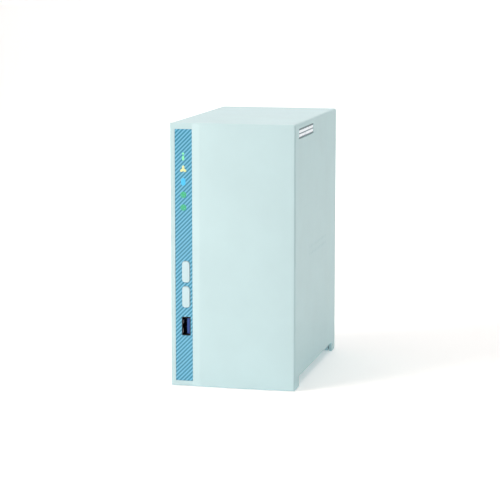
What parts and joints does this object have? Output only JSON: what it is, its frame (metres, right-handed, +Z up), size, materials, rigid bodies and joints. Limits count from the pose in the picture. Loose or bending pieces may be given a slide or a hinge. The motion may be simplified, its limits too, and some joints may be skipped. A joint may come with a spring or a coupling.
{
  "type": "network attached storage",
  "caption": "Upright desktop network storage box for hard drives, with a sliding cover, a slim control strip on the front and a rear fan.",
  "frame": {"origin": "on the surface it stands on, under the middle of the box", "axes": "+Z up, -Y towards the front with the controls, +X to the right as seen from the front"},
  "size_m": [0.0902, 0.1562, 0.1886],
  "materials": {
    "body_plastic": "pale blue moulded plastic, satin with a very fine grain",
    "strip_blue": "printed blue strip with slanted lighter stripes under a clear coat",
    "button_plastic": "pale satin plastic",
    "clear_acrylic": "clear moulded acrylic",
    "steel": "nickel-plated steel",
    "zinc_sheet": "zinc-plated sheet",
    "aluminium": "cast and machined",
    "bright_metal": "polished",
    "board_green": "green solder mask",
    "black_plastic": "black moulded plastic",
    "usb_blue": "blue moulded plastic",
    "white_plastic": "off-white plastic",
    "rubber": "dark rubber",
    "cable_sheath": "black sleeve"
  },
  "bodies": {
    "chassis": {"front_bezel": "body_plastic", "decor_strip": "strip_blue", "front_board": "board_green", "power_switch": "black_plastic", "copy_switch": "black_plastic", "light_guide": "clear_acrylic", "base_pan": "body_plastic", "foot_pad_front_left": "rubber", "foot_pad_front_right": "rubber", "foot_pad_rear_left": "rubber", "foot_pad_rear_right": "rubber", "rear_panel": "body_plastic", "lock_plate": "zinc_sheet", "fan_frame": "black_plastic", "fan_stator": "zinc_sheet", "fan_screw_lower_left": "steel", "fan_screw_lower_right": "steel", "fan_screw_upper_left": "steel", "fan_screw_upper_right": "steel", "fan_lead": "cable_sheath", "main_board": "board_green", "processor": "black_plastic", "memory_chip": "black_plastic", "flash_chip": "black_plastic", "heat_sink": "aluminium", "cell_holder": "black_plastic", "coin_cell": "steel", "drive_board": "board_green", "drive_connector_1": "black_plastic", "drive_connector_2": "black_plastic", "board_link": "white_plastic", "drive_cage": "zinc_sheet", "drive_1_case": "aluminium", "drive_1_lid": "bright_metal", "drive_1_board": "board_green", "drive_2_case": "aluminium", "drive_2_lid": "bright_metal", "drive_2_board": "board_green", "usb_front_shell": "steel", "usb_front_tongue": "usb_blue", "usb_rear_lower_shell": "steel", "usb_rear_lower_tongue": "black_plastic", "usb_rear_upper_shell": "steel", "usb_rear_upper_tongue": "usb_blue", "lan_socket": "steel", "power_socket": "black_plastic", "power_socket_pin": "bright_metal", "reset_switch": "black_plastic", "front_ribbon": "white_plastic"},
    "cover": {"outer_cover": "body_plastic", "nameplate": "bright_metal", "cover_screw_left": "steel", "cover_screw_right": "steel"},
    "power_button": {"power_button": "button_plastic", "power_switch_plunger": "black_plastic"},
    "copy_button": {"copy_button": "button_plastic", "copy_switch_plunger": "black_plastic"},
    "reset_button": {"reset_plunger": "white_plastic"},
    "fan_rotor": {"fan_rotor": "black_plastic", "fan_shaft": "steel"}
  },
  "joints": [
    {"name": "cover_slide", "type": "slide", "parent": "chassis", "child": "cover", "axis": [0, 1, 0], "range_m": [0, 0.165]},
    {"name": "power_press", "type": "slide", "parent": "chassis", "child": "power_button", "axis": [0, 1, 0], "range_m": [0, 0.0007], "stiffness_N_per_m": 600, "springref_m": -0.0005},
    {"name": "copy_press", "type": "slide", "parent": "chassis", "child": "copy_button", "axis": [0, 1, 0], "range_m": [0, 0.0007], "stiffness_N_per_m": 600, "springref_m": -0.0005},
    {"name": "reset_press", "type": "slide", "parent": "chassis", "child": "reset_button", "axis": [0, -1, 0], "range_m": [0, 0.0005], "stiffness_N_per_m": 500, "springref_m": -0.0005},
    {"name": "fan_spin", "type": "hinge", "parent": "chassis", "child": "fan_rotor", "pos_m": [0.0005, 0.05683, 0.137], "axis": [0, 1, 0], "continuous": true}
  ]
}
